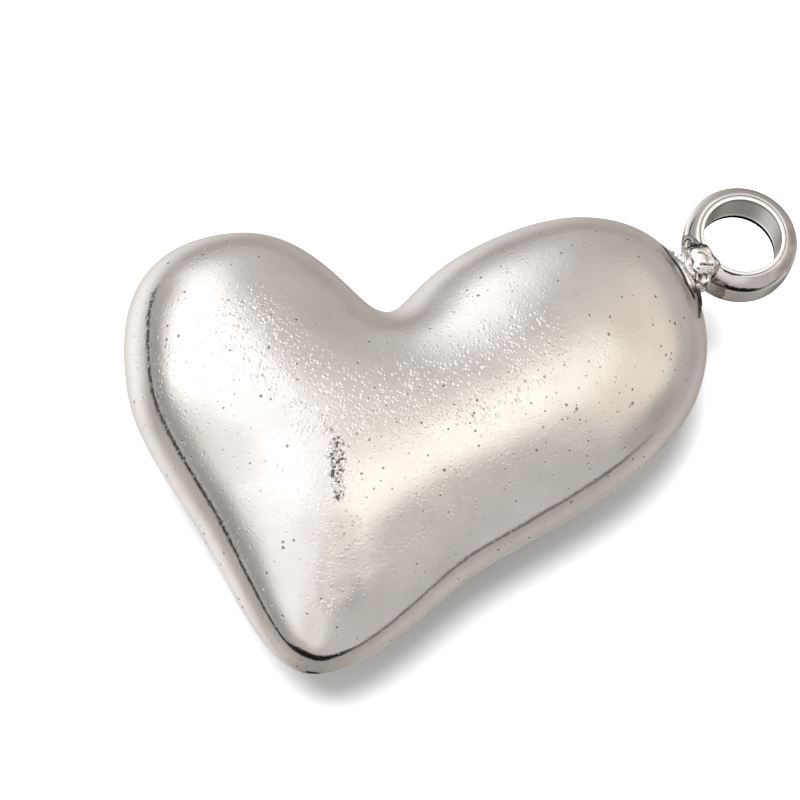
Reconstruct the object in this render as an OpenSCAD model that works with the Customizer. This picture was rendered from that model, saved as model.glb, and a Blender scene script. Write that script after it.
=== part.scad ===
// Puffed, lopsided heart pendant with a hanging ring welded to its upper right lobe.
// The pendant lies flat, with the notch of the heart up the +Y side and its tip towards -Y.
// Lengths are in millimetres and headings in degrees. The outline runs anticlockwise through
// eight stations, each placed from the bottom of the notch, and is smooth at every one.

/* [Heart stations] */
// Left shoulder, distance to the left of the notch
left_shoulder_out = 6.5; // [5.8:0.1:7.4]
// Left shoulder, height above the notch
left_shoulder_up = 2.1; // [1.5:0.1:3]
// Left side, distance to the left of the notch
left_side_out = 9.05; // [8:0.05:10.5]
// Left side, depth below the notch
left_side_down = 4.6; // [3.6:0.1:5.4]
// Left flank, distance to the left of the notch
left_flank_out = 5.5; // [4.6:0.1:6.4]
// Left flank, depth below the notch
left_flank_down = 9.8; // [8.8:0.1:10.8]
// Tip, depth below the notch
tip_down = 14.45; // [12.8:0.05:16.5]
// Right flank, distance to the right of the notch
right_flank_out = 5.8; // [5:0.1:6.8]
// Right flank, depth below the notch
right_flank_down = 8.8; // [7.8:0.1:9.8]
// Right side, distance to the right of the notch
right_side_out = 12.4; // [11:0.1:14]
// Right side, height above the notch
right_side_up = 1.4; // [0.6:0.1:2.4]
// Right shoulder, distance to the right of the notch
right_shoulder_out = 3.8; // [3:0.1:4.8]
// Right shoulder, height above the notch
right_shoulder_up = 3.8; // [3:0.1:4.6]

/* [Heart headings] */
// Heading of the outline at the bottom of the notch
notch_heading = 177; // [170:1:190]
// Heading at the left shoulder
left_shoulder_heading = 200; // [194:1:206]
// Heading at the left side
left_side_heading = 285; // [278:1:290]
// Heading at the left flank
left_flank_heading = 307; // [303:1:312]
// Heading at the tip
tip_heading = 384; // [376:1:390]
// Heading at the right flank
right_flank_heading = 399.5; // [395:0.5:404]
// Heading at the right side
right_side_heading = 462.5; // [456:0.5:468]
// Heading at the right shoulder
right_shoulder_heading = 575; // [570:1:580]

/* [Heart fullness] */
// Fullness of the curve at the notch, as a share of the distance to the next station
notch_fullness = 0.16; // [0.1:0.01:0.25]
// Fullness at the left shoulder
left_shoulder_fullness = 0.53; // [0.45:0.01:0.6]
// Fullness at the left side
left_side_fullness = 0.32; // [0.27:0.01:0.4]
// Fullness at the left flank
left_flank_fullness = 0.39; // [0.3:0.01:0.45]
// Fullness at the tip
tip_fullness = 0.32; // [0.25:0.01:0.4]
// Fullness at the right flank
right_flank_fullness = 0.35; // [0.28:0.01:0.42]
// Fullness at the right side
right_side_fullness = 0.35; // [0.28:0.01:0.42]
// Fullness at the right shoulder
right_shoulder_fullness = 0.65; // [0.55:0.01:0.7]

/* [Heart section] */
// Thickness through the highest point of the heart
heart_thickness = 7; // [5.5:0.1:9]
// Radius of the rounded rim, seen in section
rim_radius = 1.75; // [1.3:0.05:2.1]

/* [Hanging ring] */
// Diameter of the hole
ring_hole_d = 3; // [2:0.1:4.5]
// Wall of the ring, from the hole to its outermost line
ring_wall = 0.67; // [0.5:0.01:1]
// Length of the ring along its hole
ring_width = 1.8; // [1.2:0.05:2.4]
// Bevel at both mouths of the hole
ring_bevel = 0.12; // [0.05:0.01:0.2]
// Squareness of the rounded outer side: 2 is half an ellipse, more is squarer
ring_squareness = 2.3; // [2:0.1:4]
// Place of the ring along the curve from the right side to the right shoulder
ring_place = 0.28; // [0.2:0.01:0.4]
// Gap between the ring and the rim of the heart, bridged by the weld
ring_gap = 0.47; // [0.3:0.01:0.8]

/* [Weld bead] */
// Length of the bead along the rim
bead_length = 1.7; // [1.4:0.05:2.2]
// Height of the bead through the thickness of the pendant
bead_height = 2.2; // [1.9:0.05:2.6]
// How far the bead reaches past the wall of the ring on one side and into the rim on the other
bead_lap = 0.15; // [0.1:0.01:0.25]
// Depth of the lumps left on the bead when it froze
bead_lump = 0.05; // [0.02:0.01:0.08]
// How far the run of metal trails down the rim, as a share of the curve the ring is placed on
run_reach = 0.19; // [0.15:0.01:0.2]
// Thickness of that run where it leaves the bead
run_d = 0.4; // [0.25:0.01:0.5]

/* [Hidden] */
$fn = 96;

steel_colour = [0.77, 0.75, 0.73];
bead_colour = [0.86, 0.85, 0.84];

// Steps of each span between two stations, and of the way from the rim to the hub
span_steps = 13;
hub_steps = 17;
// Crowds the steps of the two spans at the notch towards its tight curve: 1 spaces them evenly
notch_crowding = 1.6;
// The hub, inside the heart, sees the whole outline: its distance to the right of the notch, and
// its depth as a share of the tip's
hub_out = 0.3;
hub_share = 0.39;
hub = [hub_out, -hub_share * tip_down];

// Each station is x, y, heading and fullness
stations = [
    [0, 0, notch_heading, notch_fullness],
    [-left_shoulder_out, left_shoulder_up, left_shoulder_heading, left_shoulder_fullness],
    [-left_side_out, -left_side_down, left_side_heading, left_side_fullness],
    [-left_flank_out, -left_flank_down, left_flank_heading, left_flank_fullness],
    [0, -tip_down, tip_heading, tip_fullness],
    [right_flank_out, -right_flank_down, right_flank_heading, right_flank_fullness],
    [right_side_out, right_side_up, right_side_heading, right_side_fullness],
    [right_shoulder_out, right_shoulder_up, right_shoulder_heading, right_shoulder_fullness]
];
right_side_span = 6;

function place(s) = [s[0], s[1]];
function heading(s) = [cos(s[2]), sin(s[2])];

// Point at the share t of the cubic curve between two stations
function span_point(a, b, t) =
    let (
        reach = norm(place(b) - place(a)),
        p1 = place(a) + heading(a) * a[3] * reach,
        p2 = place(b) - heading(b) * b[3] * reach,
        u = 1 - t
    )
    u * u * u * place(a) + 3 * u * u * t * p1 + 3 * u * t * t * p2 + t * t * t * place(b);

function outline_point(span, t) =
    span_point(stations[span], stations[(span + 1) % len(stations)], t);

function step_share(span, i) =
    span == 0 ? pow(i / span_steps, notch_crowding) :
    span == len(stations) - 1 ? 1 - pow(1 - i / span_steps, notch_crowding) :
    i / span_steps;

outline = [
    for (span = [0 : len(stations) - 1])
        for (i = [0 : span_steps - 1])
            outline_point(span, step_share(span, i))
];
columns = len(outline);
ones = [for (i = [0 : columns - 1]) 1];

// Pull of one straight piece of the rim on a point, as the inverse cube of the distance
// summed along it, in closed form
function rim_pull(p, a, b) =
    let (
        way = (b - a) / norm(b - a),
        s0 = (a - p) * way,
        s1 = (b - p) * way,
        off = max(1e-6, (a - p) * (a - p) - s0 * s0)
    )
    (s1 / sqrt(s1 * s1 + off) - s0 / sqrt(s0 * s0 + off)) / off;

// Distance to the rim that is true near it and smooth inside, with no crease along the middle
function rim_distance(p) =
    sqrt(2 / (ones * [
        for (i = [0 : columns - 1]) rim_pull(p, outline[i], outline[(i + 1) % columns])
    ]));

// Share of the way from the rim to the hub at each step, closest together at the rim
function hub_way(i) = 1 - cos(90 * i / hub_steps);
function plan_point(i, j) = outline[j] * (1 - hub_way(i)) + hub * hub_way(i);

// Distances to the rim over the steps and columns, and at the hub itself
distances = [
    for (i = [1 : hub_steps - 1])
        [for (j = [0 : columns - 1]) rim_distance(plan_point(i, j))]
];
hub_distance = rim_distance(hub);
peak_distance = max(hub_distance, max([for (row = distances) max(row)]));

// Section of the heart: round at the rim, with rim_radius, and domed to the full thickness
half_thickness = heart_thickness / 2;
dome_power = 2 * rim_radius * peak_distance / (half_thickness * half_thickness);
function dome(distance) =
    half_thickness * sqrt(1 - pow(max(0, 1 - distance / peak_distance), dome_power));

// Place of the ring: out from the rim, square to it
weld_point = outline_point(right_side_span, ring_place);
slight = 0.01;
rim_run = outline_point(right_side_span, ring_place + slight) - weld_point;
rim_along = rim_run / norm(rim_run);
rim_out = [rim_along[1], -rim_along[0]];
ring_hole_r = ring_hole_d / 2;
ring_outer_r = ring_hole_r + ring_wall;
ring_centre = weld_point + rim_out * (ring_gap + ring_outer_r);

// The origin is below the middle of the pendant's box
low_x = min([for (p = outline) p[0]]);
low_y = min([for (p = outline) p[1]]);
high_x = max(max([for (p = outline) p[0]]), ring_centre[0] + ring_outer_r);
high_y = max(max([for (p = outline) p[1]]), ring_centre[1] + ring_outer_r);
origin_shift = [-(low_x + high_x) / 2, -(low_y + high_y) / 2, half_thickness];

// One face of the heart above the rim, from the step next to the rim to the step next to the hub
function shell_points(side) = [
    for (i = [1 : hub_steps - 1])
        for (j = [0 : columns - 1])
            let (p = plan_point(i, j))
            [p[0], p[1], side * dome(distances[i - 1][j])]
];

module heart_solid() {
    rim = [for (p = outline) [p[0], p[1], 0]];
    shell_count = (hub_steps - 1) * columns;
    top_hub = columns + shell_count;
    bottom_first = top_hub + 1;
    bottom_hub = bottom_first + shell_count;
    last_row = (hub_steps - 2) * columns;
    points = concat(
        rim,
        shell_points(1), [[hub[0], hub[1], dome(hub_distance)]],
        shell_points(-1), [[hub[0], hub[1], -dome(hub_distance)]]
    );
    top_row = function (i, j) (i == 0 ? 0 : columns + (i - 1) * columns) + j % columns;
    bottom_row = function (i, j) (i == 0 ? 0 : bottom_first + (i - 1) * columns) + j % columns;
    faces = concat(
        [for (i = [0 : hub_steps - 2]) for (j = [0 : columns - 1]) each [
            [top_row(i, j), top_row(i + 1, j), top_row(i + 1, j + 1)],
            [top_row(i, j), top_row(i + 1, j + 1), top_row(i, j + 1)],
            [bottom_row(i, j), bottom_row(i + 1, j + 1), bottom_row(i + 1, j)],
            [bottom_row(i, j), bottom_row(i, j + 1), bottom_row(i + 1, j + 1)]
        ]],
        [for (j = [0 : columns - 1]) each [
            [columns + last_row + j, top_hub, columns + last_row + (j + 1) % columns],
            [bottom_first + last_row + j, bottom_first + last_row + (j + 1) % columns, bottom_hub]
        ]]
    );
    polyhedron(points, faces, convexity = 4);
}

// Section of the ring to the right of its axis: straight hole, bevelled mouths, rounded outer side
side_steps = 20;
function squared(x) = sign(x) * pow(abs(x), 2 / ring_squareness);

module ring_section() {
    half_width = ring_width / 2;
    side_depth = ring_wall - ring_bevel;
    polygon(concat(
        [[ring_hole_r, -half_width + ring_bevel]],
        [for (i = [0 : side_steps]) let (a = 180 * i / side_steps - 90)
            [ring_hole_r + ring_bevel + side_depth * squared(cos(a)), half_width * squared(sin(a))]],
        [[ring_hole_r, half_width - ring_bevel]]
    ));
}

module ring_solid() {
    translate([ring_centre[0], ring_centre[1], 0]) rotate_extrude() ring_section();
}

// A frozen lump of weld metal: a ball drawn out along the rim, with low rounded lumps on it
bead_columns = 28;
bead_rows = 14;
function lump(turn, rise) =
    1 + bead_lump * (sin(3 * turn + 40) * cos(2 * rise) + sin(2 * turn + 4 * rise) + 0.6 * cos(5 * turn));

module bead_ball() {
    half_out = (ring_gap + ring_wall) / 2 + bead_lap;
    point = function (turn, rise) lump(turn, rise) * [
        half_out * cos(turn) * cos(rise),
        bead_length / 2 * sin(turn) * cos(rise),
        bead_height / 2 * sin(rise)
    ];
    points = concat(
        [point(0, -90)],
        [for (i = [1 : bead_rows - 1]) for (j = [0 : bead_columns - 1])
            point(360 * j / bead_columns, -90 + 180 * i / bead_rows)],
        [point(0, 90)]
    );
    at = function (i, j) 1 + (i - 1) * bead_columns + j % bead_columns;
    top = 1 + (bead_rows - 1) * bead_columns;
    faces = concat(
        [for (j = [0 : bead_columns - 1]) [0, at(1, j), at(1, j + 1)]],
        [for (i = [1 : bead_rows - 2]) for (j = [0 : bead_columns - 1]) each [
            [at(i, j), at(i + 1, j), at(i + 1, j + 1)],
            [at(i, j), at(i + 1, j + 1), at(i, j + 1)]
        ]],
        [for (j = [0 : bead_columns - 1]) [top, at(bead_rows - 1, j + 1), at(bead_rows - 1, j)]]
    );
    polyhedron(points, faces, convexity = 3);
}

// The run trails off the bead, settles on the rim, sinks a little and thins out
run_steps = 5;
run_thinning = 0.7;
module run_ball(share) {
    spot = outline_point(right_side_span, ring_place - run_reach * share) + rim_out * run_d / 2 * (1 - share);
    translate([spot[0], spot[1], -run_d * share * share]) sphere(d = run_d * (1 - run_thinning * share), $fn = 16);
}

module bead_run() {
    for (i = [1 : run_steps - 1]) hull() {
        run_ball(i / run_steps);
        run_ball((i + 1) / run_steps);
    }
}

module bead_solid() {
    middle = weld_point + rim_out * (ring_gap + ring_wall) / 2;
    difference() {
        union() {
            translate([middle[0], middle[1], 0]) rotate(atan2(rim_out[1], rim_out[0])) bead_ball();
            bead_run();
        }
        heart_solid();
        ring_solid();
        translate([ring_centre[0], ring_centre[1], 0]) cylinder(r = ring_hole_r, h = 2 * bead_height, center = true);
    }
}

module heart_body() {
    color(steel_colour) translate(origin_shift) heart_solid();
}

module hanging_ring() {
    color(steel_colour) translate(origin_shift) ring_solid();
}

module weld_bead() {
    color(bead_colour) translate(origin_shift) bead_solid();
}

heart_body();
hanging_ring();
weld_bead();
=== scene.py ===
"""Heart pendant, dressed for the picture.

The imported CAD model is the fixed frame. The heart, its hanging ring and the weld bead are made
again here, fine enough to mirror a studio, from the outline and the formulas of the CAD source.
They get steel materials made of noise, and a floor, a camera and a studio of light round them.

Lengths are in millimetres. A place is right of the bottom of the heart's notch, above it in the
heart's plan, and above the heart's middle plane, as in the CAD source. to_frame() turns places
into metres in the shared frame. The weld and the ring use two more ways to say a place:
weld_place() takes mm along the rim and out from it, and rim_place() follows the curve of the rim.
"""
import math

import bpy
import numpy as np
from mathutils import Matrix, Vector


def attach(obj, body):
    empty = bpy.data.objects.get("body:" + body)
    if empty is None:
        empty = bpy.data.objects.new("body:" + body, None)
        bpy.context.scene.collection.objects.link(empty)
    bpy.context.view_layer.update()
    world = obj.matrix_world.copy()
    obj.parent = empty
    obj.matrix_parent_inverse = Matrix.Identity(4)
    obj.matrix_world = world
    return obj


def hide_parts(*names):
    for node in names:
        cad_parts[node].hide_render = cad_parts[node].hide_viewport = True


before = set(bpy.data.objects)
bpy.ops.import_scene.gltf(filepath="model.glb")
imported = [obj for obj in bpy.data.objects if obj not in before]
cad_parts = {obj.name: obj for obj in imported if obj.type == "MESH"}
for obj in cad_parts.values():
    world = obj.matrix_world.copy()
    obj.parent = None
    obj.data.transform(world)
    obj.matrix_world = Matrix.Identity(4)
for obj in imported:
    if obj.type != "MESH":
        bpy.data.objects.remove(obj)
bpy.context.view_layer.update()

MM = 0.001
DEGREES = 180 / math.pi

# Sizes, as in the CAD source
# Stations of the outline: right of the notch, above the notch, heading in degrees, fullness
STATIONS = np.array(
    [
        (0, 0, 177, 0.16),
        (-6.5, 2.1, 200, 0.53),
        (-9.05, -4.6, 285, 0.32),
        (-5.5, -9.8, 307, 0.39),
        (0, -14.45, 384, 0.32),
        (5.8, -8.8, 399.5, 0.35),
        (12.4, 1.4, 462.5, 0.35),
        (3.8, 3.8, 575, 0.65),
    ]
)
RIGHT_SIDE_SPAN = 6
HALF_THICKNESS = 3.5
HUB = np.array([0.3, -0.39 * 14.45])
RING_HOLE_R = 1.5
RING_WALL = 0.67
RING_PLACE = 0.28
RING_GAP = 0.47
BEAD_LENGTH = 1.7
BEAD_HEIGHT = 2.2
BEAD_LAP = 0.15

# Rounding of the rim at each station; the CAD source has 1.75 all round
RIM_RADII = (1.75, 1.5, 2.25, 1.75, 1.2, 1.45, 1.6, 1.75)

# Fineness of the meshes
SPAN_STEPS = 56
HUB_STEPS = 104
NOTCH_CROWDING = 1.6
DISTANCE_BATCH = 3000
RING_TURNS = 192
BALL_GRID = (12, 16)
BEAD_GRID = (24, 36)
TUBE_GRID = (8, 10)
TUBE_BALLS = 28
WELD_VOXEL = 0.035
WELD_SMOOTHINGS = 3
# Share of the span to the next point of the rim, which gives the way along it
RIM_STEP = 0.01


def heading(degrees):
    return np.array([math.cos(math.radians(degrees)), math.sin(math.radians(degrees))])


def span_point(span, t):
    """Points at the shares t of the cubic curve that leaves station `span`."""
    a, b = STATIONS[span], STATIONS[(span + 1) % len(STATIONS)]
    reach = np.linalg.norm(b[:2] - a[:2])
    p0, p3 = a[:2], b[:2]
    p1, p2 = p0 + heading(a[2]) * a[3] * reach, p3 - heading(b[2]) * b[3] * reach
    t = np.atleast_1d(np.asarray(t, float))[:, None]
    u = 1 - t
    return u**3 * p0 + 3 * u * u * t * p1 + 3 * u * t * t * p2 + t**3 * p3


def outline_points():
    """The outline, with its steps crowded towards the tight curve of the notch."""
    points = []
    for span in range(len(STATIONS)):
        t = np.arange(SPAN_STEPS) / SPAN_STEPS
        if span == 0:
            t = t**NOTCH_CROWDING
        if span == len(STATIONS) - 1:
            t = 1 - (1 - t) ** NOTCH_CROWDING
        points.append(span_point(span, t))
    return np.concatenate(points)


def rim_distance(points, outline):
    """Distance to the rim, true near it and smooth inside: an inverse cube law, in closed form."""
    way = np.roll(outline, -1, 0) - outline
    length = np.linalg.norm(way, axis=1)
    way /= length[:, None]
    found = np.zeros(len(points))
    for first in range(0, len(points), DISTANCE_BATCH):
        batch = slice(first, first + DISTANCE_BATCH)
        reach = outline[None] - points[batch, None]
        s0 = (reach * way[None]).sum(2)
        s1 = s0 + length[None]
        off = np.maximum(1e-9, (reach**2).sum(2) - s0**2)
        pull = (s1 / np.sqrt(s1 * s1 + off) - s0 / np.sqrt(s0 * s0 + off)) / off
        found[batch] = np.sqrt(2 / pull.sum(1))
    return found


def rim_axes(share):
    """On the rim, a share of its span past the ring's place: the point, the way along, the way out."""
    spot = RING_PLACE + share
    point, ahead = span_point(RIGHT_SIDE_SPAN, [spot, spot + RIM_STEP])
    along = (ahead - point) / np.linalg.norm(ahead - point)
    return point, along, np.array([along[1], -along[0]])


weld_point, rim_along, rim_out = rim_axes(0)
ring_outer_r = RING_HOLE_R + RING_WALL
ring_centre = weld_point + rim_out * (RING_GAP + ring_outer_r)

# The frame's origin is below the middle of the pendant's box
outline = outline_points()
low = outline.min(0)
high = np.maximum(outline.max(0), ring_centre + ring_outer_r)
ORIGIN_SHIFT = np.array([*(-(low + high) / 2), HALF_THICKNESS])


def to_frame(places):
    return (np.asarray(places, float) + ORIGIN_SHIFT) * MM


def weld_place(spots):
    """Places of spots given as mm along the rim, out from it, and up."""
    spots = np.atleast_2d(spots)
    plan = weld_point + spots[:, :1] * rim_along + spots[:, 1:2] * rim_out
    return np.column_stack([plan, spots[:, 2]])


def rim_place(share, out, up):
    """The place that is `out` mm outside the rim and `up` mm high, at a share of the span."""
    point, _, way_out = rim_axes(share)
    return np.array([*(point + way_out * out), up])


def smooth_step(x, low_edge, high_edge):
    t = np.clip((x - low_edge) / (high_edge - low_edge), 0, 1)
    return t * t * (3 - 2 * t)


class Waves:
    """Smooth seeded noise in space: a sum of sine waves in random directions."""

    def __init__(self, seed, wavelength, count=24):
        rng = np.random.default_rng(seed)
        ways = rng.normal(size=(count, 3))
        ways /= np.linalg.norm(ways, axis=1)[:, None]
        self.ways = ways * (2 * math.pi / (wavelength * rng.uniform(0.7, 1.6, count)))[:, None]
        self.phases = rng.uniform(0, 2 * math.pi, count)
        self.scale = math.sqrt(2 / count)

    def at(self, places):
        return np.sin(places @ self.ways.T + self.phases).sum(1) * self.scale


# Meshes
def make_mesh(name, places, faces, material):
    """A smooth piece on the root body, its places in mm."""
    mesh = bpy.data.meshes.new(name)
    mesh.from_pydata([tuple(p) for p in to_frame(places)], [], faces)
    mesh.update()
    mesh.polygons.foreach_set("use_smooth", [True] * len(mesh.polygons))
    piece = bpy.data.objects.new(name, mesh)
    bpy.context.scene.collection.objects.link(piece)
    mesh.materials.append(material)
    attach(piece, "root")
    return piece


def read_vertices(mesh, kind="co"):
    """The vertices' coordinates or normals, a row for each."""
    values = np.zeros(len(mesh.vertices) * 3)
    mesh.vertices.foreach_get(kind, values)
    return values.reshape(-1, 3)


def write_vertices(mesh, coordinates):
    mesh.vertices.foreach_set("co", coordinates.ravel())
    mesh.update()


def push_along_normals(mesh, heights):
    """Moves each vertex out by its height in mm."""
    normals = read_vertices(mesh, "normal")
    write_vertices(mesh, read_vertices(mesh) + normals * (heights[:, None] * MM))


# Node trees
class Nodes:
    """A short way to write a node tree."""

    def __init__(self, tree):
        self.tree = tree
        self.tree.nodes.clear()

    def add(self, kind, **inputs):
        """A node of this kind, its properties and inputs set by name."""
        node = self.tree.nodes.new(kind)
        for name, value in inputs.items():
            if hasattr(node, name) and name not in node.inputs:
                setattr(node, name, value)
            else:
                self.put(node.inputs[name], value)
        return node

    def put(self, socket, value):
        if isinstance(value, bpy.types.NodeSocket):
            self.tree.links.new(value, socket)
        else:
            socket.default_value = value

    def math(self, operation, a, b=0.0, c=0.0, clamp=False):
        node = self.tree.nodes.new("ShaderNodeMath")
        node.operation = operation
        node.use_clamp = clamp
        for socket, value in zip(node.inputs, (a, b, c)):
            self.put(socket, value)
        return node.outputs[0]

    def times(self, *factors):
        product = factors[0]
        for factor in factors[1:]:
            product = self.math("MULTIPLY", product, factor)
        return product

    def most(self, *values):
        """The largest of the values."""
        largest = values[0]
        for value in values[1:]:
            largest = self.math("MAXIMUM", largest, value)
        return largest

    def scaled(self, value, factor, offset):
        return self.math("MULTIPLY_ADD", value, factor, offset)

    def apart(self, a, b):
        """How far two numbers are apart."""
        return self.math("ABSOLUTE", self.math("SUBTRACT", a, b))

    def ramp(self, value, low_in, high_in, low_out=0.0, high_out=1.0, soft=True):
        """Runs from low_out to high_out as the value goes from low_in to high_in."""
        node = self.tree.nodes.new("ShaderNodeMapRange")
        node.interpolation_type = "SMOOTHSTEP" if soft else "LINEAR"
        for socket, number in zip(node.inputs, (value, low_in, high_in, low_out, high_out)):
            self.put(socket, number)
        return node.outputs[0]

    def below(self, value, full_at, none_at):
        """1 up to full_at, falling to 0 at none_at."""
        return self.ramp(value, full_at, none_at, 1.0, 0.0)

    def vector(self, operation, a, b):
        """Vector arithmetic. SCALE takes a number as b, DOT_PRODUCT and DISTANCE give a number."""
        node = self.tree.nodes.new("ShaderNodeVectorMath")
        node.operation = operation
        self.put(node.inputs[0], a)
        self.put(node.inputs["Scale" if operation == "SCALE" else 1], b)
        return node.outputs["Value" if operation in ("DOT_PRODUCT", "DISTANCE") else "Vector"]

    def mix(self, factor, a, b):
        node = self.tree.nodes.new("ShaderNodeMix")
        node.data_type = "RGBA"
        self.put(node.inputs[0], factor)
        self.put(node.inputs[6], a)
        self.put(node.inputs[7], b)
        return node.outputs[2]


# Steel
# Colours of the metals, then of what stains them and of the light and shade painted on them
STEEL = (0.675, 0.645, 0.618)
STEEL_SHADE = (0.625, 0.592, 0.565)
# Whiter steel of the ring's mouth, a painted highlight
MOUTH_HIGHLIGHT = (0.97, 0.965, 0.955)
PAINTED_HIGHLIGHT = (0.92, 0.91, 0.90)
WELD_METAL = (0.90, 0.88, 0.86)
WELD_SHADE = (0.74, 0.71, 0.68)
PIT_BROWN = (0.17, 0.14, 0.12)
GRAIN_GAP_SHADE = (0.06, 0.055, 0.05)
# Black of the dash on the tip and of the painted shade in the undercut
MARK_AND_SHADE_BLACK = (0.02, 0.018, 0.015)
SMUDGE_GREY = (0.34, 0.32, 0.31)
RIDGE_SHADE_GREY = (0.42, 0.40, 0.385)
# Painted shade and a painted dark reflection in the ring's hole
HOLE_EDGE_SHADE = (0.08, 0.075, 0.07)
HOLE_WALL_SHADE = (0.40, 0.39, 0.38)
HOLE_FOOT_REFLECTION = (0.015, 0.015, 0.015)
# Painted shade on the ring's cone
CONE_SHADE_GREY = (0.50, 0.49, 0.475)
# A painted dark reflection below the ring's near cone
CONE_EDGE_REFLECTION = (0.02, 0.018, 0.016)
# Painted highlight on the ring's outer side
RING_SIDE_HIGHLIGHT = (0.86, 0.84, 0.82)
# Painted shade on the step round the ring's mouth and in the groove beside it
STEP_SHADE = (0.16, 0.15, 0.14)
GROOVE_SHADE = (0.03, 0.028, 0.026)
BURNT = (0.20, 0.165, 0.145)
HEAT_NEAR_WELD = (0.36, 0.31, 0.27)
HEAT_FAR_SIDE = (0.40, 0.34, 0.30)
WELD_SCALE = (0.24, 0.21, 0.19)
# Near black of thin weld metal: heat tint, with painted shade along the run
THIN_TINT_AND_SHADE = (0.055, 0.045, 0.04)
# Painted shade in the weld's creases
CREASE_SHADE = (0.03, 0.025, 0.02)

# Colour of the reflection at a grazing angle
HEART_EDGE_TINT = (0.62, 0.605, 0.59)
RING_EDGE_TINT = (0.30, 0.29, 0.28)


class Steel(Nodes):
    """Distances are in mm. In the functions that make a steel, s stands for it.
    """

    def __init__(self, name, light, dark):
        self.material = bpy.data.materials.new(name)
        self.material.use_nodes = True
        super().__init__(self.material.node_tree)
        metres = self.add("ShaderNodeTexCoord").outputs["Object"]
        self.place = self.vector("SCALE", metres, 1 / MM)
        self.above_floor = self.add("ShaderNodeSeparateXYZ", Vector=self.place).outputs[2]
        self.above_middle = self.math("SUBTRACT", self.above_floor, HALF_THICKNESS)
        cloudy = self.ramp(self.noise(0.45, 3.0, 0.6), 0.3, 0.7)
        self.colour = self.mix(cloudy, (*dark, 1), (*light, 1))
        self.height = 0.0

    def noise(self, per_mm, detail=2.0, roughness=0.5, at=None):
        """Noise from 0 to 1, mostly near 0.5."""
        place = self.place if at is None else at
        node = self.add("ShaderNodeTexNoise", Vector=place, Scale=per_mm, Detail=detail, Roughness=roughness)
        return node.outputs["Fac"]

    def roughen(self, least, spread):
        """Sets the roughness, in fine specks from `least` to `spread` more."""
        self.rough = self.scaled(self.noise(9.0, 2.0, 0.6), spread, least)

    def raise_by(self, height, depth):
        """Adds to the height of the surface, in mm."""
        self.height = self.math("MULTIPLY_ADD", height, depth, self.height)

    def stain(self, mask, colour, strength=1.0):
        if strength < 1:
            mask = self.times(mask, strength)
        self.colour = self.mix(mask, self.colour, (*colour, 1))

    def dots(self, per_mm, radius, chance, soft=0.6, ragged=0.0):
        """Scattered dots, 1 in their middles and 0 between them.

        There are per_mm cells in a mm. A share `chance` of them holds a dot, the largest with this
        radius in cells. The outer share `soft` of a dot fades, and ragged bends its edge.
        """
        cells = self.add("ShaderNodeTexVoronoi", Vector=self.place, Scale=per_mm).outputs
        distance = cells["Distance"]
        if ragged:
            bend = self.scaled(self.noise(2.5 * per_mm, 1.0, 0.5), ragged, -0.5 * ragged)
            distance = self.math("ADD", distance, bend)
        pick = self.add("ShaderNodeSeparateColor", Color=cells["Color"]).outputs[0]
        size = self.ramp(pick, 1 - chance, 1.0, 0.0, radius, soft=False)
        dot = self.below(distance, self.times(size, 1 - soft), size)
        return self.times(dot, self.math("GREATER_THAN", size, 0.01))

    def near_line(self, start, end, inner, outer):
        """1 within `inner` mm of the line between two places, falling to 0 at `outer` mm."""
        a, b = Vector(start + ORIGIN_SHIFT), Vector(end + ORIGIN_SHIFT)
        along = b - a
        from_a = self.vector("SUBTRACT", self.place, a)
        share = self.vector("DOT_PRODUCT", from_a, along / along.length_squared)
        share = self.math("MULTIPLY", share, 1.0, clamp=True)
        off = self.vector("DISTANCE", from_a, self.vector("SCALE", along, share))
        return self.below(off, inner, outer)

    def near_chain(self, places, inner, outer):
        """near_line() along a chain of places."""
        return self.most(*(self.near_line(a, b, inner, outer) for a, b in zip(places, places[1:])))

    def finish(self, edge_tint):
        bump = self.add("ShaderNodeBump", Height=self.height, Distance=MM)
        shader = self.add("ShaderNodeBsdfPrincipled", Metallic=1.0)
        self.put(shader.inputs["Specular Tint"], (*edge_tint, 1))
        self.put(shader.inputs["Base Color"], self.colour)
        self.put(shader.inputs["Roughness"], self.rough)
        self.put(shader.inputs["Normal"], bump.outputs["Normal"])
        self.add("ShaderNodeOutputMaterial", Surface=shader.outputs[0])
        return self.material


# The heart's steel
# Marks on it are lines between places that lie on its surface
POLISHED = 0.07
SATIN = 0.15
GRAIN_LEFT_ARM = (-5.0, -2.3, 3.1)
GRAIN_FORK = (-1.3, -5.7, 3.5)
GRAIN_RIGHT_ARM = ((3.5, -3.6, 3.4), (5.4, -1.6, 3.3))
GRAIN_RIDGE = ((-0.9, -5.5, 3.5), (-0.6, -12.5, 2.0))
STREAK_HEAD = ((-1.12, -6.9, 3.4), (-0.95, -7.9, 3.3))
STREAK_TAIL = ((-0.98, -7.6, 3.3), (-0.76, -8.8, 3.1))
STREAK_FAN = ((-1.75, -5.5, 3.45), (-1.15, -6.8, 3.4))
PITS_BELOW_MIDDLE = ((1.5, -6.5, 3.4), (7.5, -4.0, 3.0))
PITS_ON_LOBE = ((10.6, 0.6, 2.8), (11.3, -2.0, 2.4))
TIP_DASH = ((-0.80, -14.62, 0.06), (-0.36, -14.65, 0.06))
SMUDGE = ((-0.35, -11.9, 2.2), (0.35, -11.7, 2.2))
# Painted shade lies along this ridge
SHADED_RIDGE = ((-0.30, -9.8, 2.95), (0.15, -12.2, 2.0))

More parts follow.
